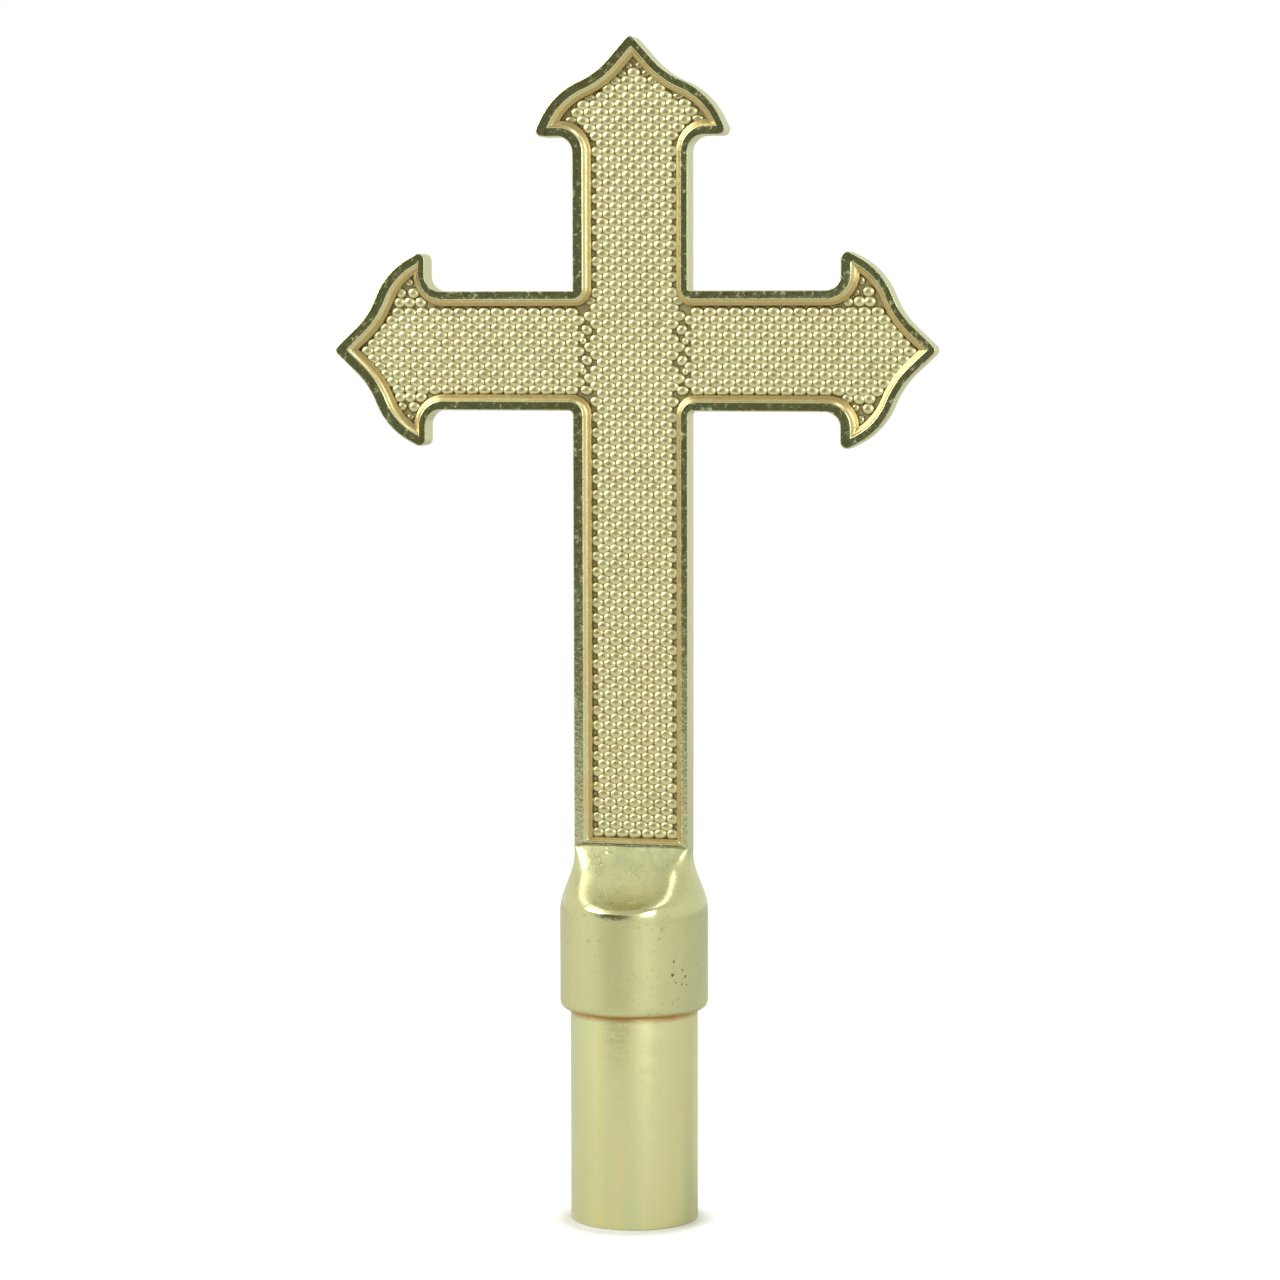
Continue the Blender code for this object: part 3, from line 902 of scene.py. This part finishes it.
def tube_brass():
    """Drawn tube: fine lines along it, soft blotches in the lacquer, a yellow streak of painted highlight
    down its front, and a brown painted shade and reflection at the joint.
    """
    finish = Finish("tube_brass")
    streaks = finish.patches(260, 3, (1, 1, 0.05))
    colour = finish.mix(streaks, (0.62, 0.64, 0.345), (0.70, 0.66, 0.345))
    # a yellow streak down the front, left of the middle: a painted highlight where the key light reflects
    broken = finish.spread(finish.noise(300, 2, (1, 1, 0.3)), 0.3, 0.65, 0.1, 0.55)
    streak_highlight = finish.math("MULTIPLY", finish.near(STREAK_HIGHLIGHT_PLACE, STREAK_HIGHLIGHT_RADIUS, (1, 1, 0)), broken)
    colour = finish.mix(streak_highlight, colour, STREAK_HIGHLIGHT_YELLOW)
    # a brown band at the top of the tube: painted shade and reflection of the corner under the collar's
    # lip
    height = finish.ragged_height(400, 0.0006)
    joint_shade = finish.spread(height, COLLAR_FOOT_Z - 0.0010, COLLAR_FOOT_Z + 0.0002)
    colour = finish.mix(joint_shade, colour, JOINT_SHADE_BROWN)
    blotches = finish.noise(120, 2, (1, 1, 2.5))
    roughness = finish.spread(blotches, 0.3, 0.7, 0.26, 0.36)
    lines = finish.noise(900, 3, (1, 1, 0.04))
    grain = finish.noise(1400, 4)
    return finish.done(colour, roughness, (lines, 0.00002), (grain, 0.00003), (blotches, 0.00008))


def dull_metal(name, colour, roughness):
    """Plain metal, darker where it is worn."""
    finish = Finish(name)
    worn = finish.mix(finish.patches(500), colour, [0.7 * part for part in colour])
    return finish.done(worn, roughness, (finish.noise(1500, 4), 0.00003))


def dress_inner_pieces():
    """The fixing inside the ferrule keeps its CAD shapes and takes worn finishes."""
    zinc = dull_metal("zinc_steel", (0.62, 0.63, 0.64), 0.38)
    solder = dull_metal("solder_grey", (0.50, 0.51, 0.51), 0.5)
    brass = dull_metal("disc_brass", (0.74, 0.68, 0.36), 0.4)
    finishes = {"ferrule_end_disc": brass, "end_disc_solder": solder}
    for name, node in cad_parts.items():
        if name not in ("cross_casting", "ferrule_tube"):
            node.data.materials.clear()
            node.data.materials.append(finishes.get(name, zinc))


# Light, floor and camera


def area_light(name, azimuth, elevation, size, power):
    """Softbox that faces the cross from this azimuth (0 is the front, 90 the right) and elevation."""
    data = bpy.data.lights.new(name, "AREA")
    data.shape = "RECTANGLE"
    data.size, data.size_y = size
    data.energy = power
    light = bpy.data.objects.new(name, data)
    across = radians(azimuth)
    up = radians(elevation)
    away = Vector((sin(across) * cos(up), -cos(across) * cos(up), sin(up)))
    light.location = LIGHT_TARGET + LIGHT_DISTANCE * away
    light.rotation_euler = away.to_track_quat("Z", "Y").to_euler()
    bpy.context.scene.collection.objects.link(light)


def add_world():
    """White studio all round, with the darker, greenish space behind the camera in front."""
    world = bpy.data.worlds.new("studio")
    bpy.context.scene.world = world
    world.use_nodes = True
    world.node_tree.nodes.clear()
    nodes = Nodes(world.node_tree)
    direction = nodes.add("TexCoord").outputs["Generated"]
    across = radians(DARK_AZIMUTH)
    middle = (sin(across), -cos(across), DARK_RISE)
    facing = nodes.add("VectorMath", {0: direction, 1: middle}, operation="DOT_PRODUCT").outputs["Value"]
    inputs = {"Value": facing, "From Min": cos(radians(DARK_OUTER)), "From Max": cos(radians(DARK_INNER))}
    dark = nodes.add("MapRange", inputs, interpolation_type="SMOOTHSTEP").outputs["Result"]
    height = nodes.add("SeparateXYZ", {0: direction}).outputs["Z"]
    above = nodes.spread(height, CEILING_START, CEILING_FULL)
    room = nodes.mix(above, STUDIO_WHITE, CEILING_GREY)
    around = nodes.mix(dark, room, DARK_GREEN)
    seen = nodes.add("LightPath").outputs["Is Camera Ray"]
    background = nodes.add("Background", {"Color": nodes.mix(seen, around, WHITE)}).outputs[0]
    nodes.add("OutputWorld", {"Surface": background})


def add_floor():
    """Pale floor that the camera sees as white as the backdrop, but for the ferrule's shadow: the rendered
    one, deepened by a painted shadow where the glow fades out round the ferrule.
    """
    bpy.ops.mesh.primitive_plane_add(size=FLOOR_SIZE, location=(0, 0, 0))
    floor = bpy.context.object
    floor.name = "floor"
    finish = Finish("floor_white")
    pale = finish.mix(finish.noise(3), (0.66, 0.66, 0.65), (0.69, 0.69, 0.68))
    seen = finish.add("LightPath").outputs["Is Camera Ray"]
    inputs = {0: finish.place, 1: SHADOW_PLACE}
    away = finish.add("VectorMath", inputs, operation="DISTANCE").outputs["Value"]
    # no glow near the ferrule: a painted shadow round it, on top of the rendered one
    glow = finish.spread(away, TUBE_RADIUS, TUBE_RADIUS + SHADOW_WIDTH, 0, FLOOR_GLOW)
    looks = {
        "Base Color": pale,
        "Roughness": 0.6,
        "Specular IOR Level": 0.1,
        "Emission Color": WHITE,
        "Emission Strength": finish.math("MULTIPLY", seen, glow),
    }
    for name, value in looks.items():
        finish.plug(finish.shader.inputs[name], value)
    floor.data.materials.append(finish.material)


def add_camera():
    data = bpy.data.cameras.new("camera")
    data.sensor_width = SENSOR_WIDTH
    data.lens = CAMERA_LENS
    data.clip_start = 0.01
    data.clip_end = 20
    camera = bpy.data.objects.new("camera", data)
    turn = Euler((radians(90 - CAMERA_PITCH), 0, radians(CAMERA_AZIMUTH))).to_matrix()
    turn @= Matrix.Rotation(radians(CAMERA_ROLL), 3, "Z")
    camera.matrix_world = Matrix.Translation(CAMERA_PLACE) @ turn.to_4x4()
    bpy.context.scene.collection.objects.link(camera)
    bpy.context.scene.camera = camera


add_camera()
add_world()
for light_name, settings in LIGHTS.items():
    area_light(light_name, *settings)
add_floor()
bpy.context.scene.view_settings.view_transform = "Standard"

finishes = [wall_brass(), rim_brass(), band_brass(), floor_brass(), neck_brass()]
body = add_piece("cross_body", casting_mesh(), finishes)
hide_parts("cross_casting")
add_beads()
add_ferrule()
dress_inner_pieces()
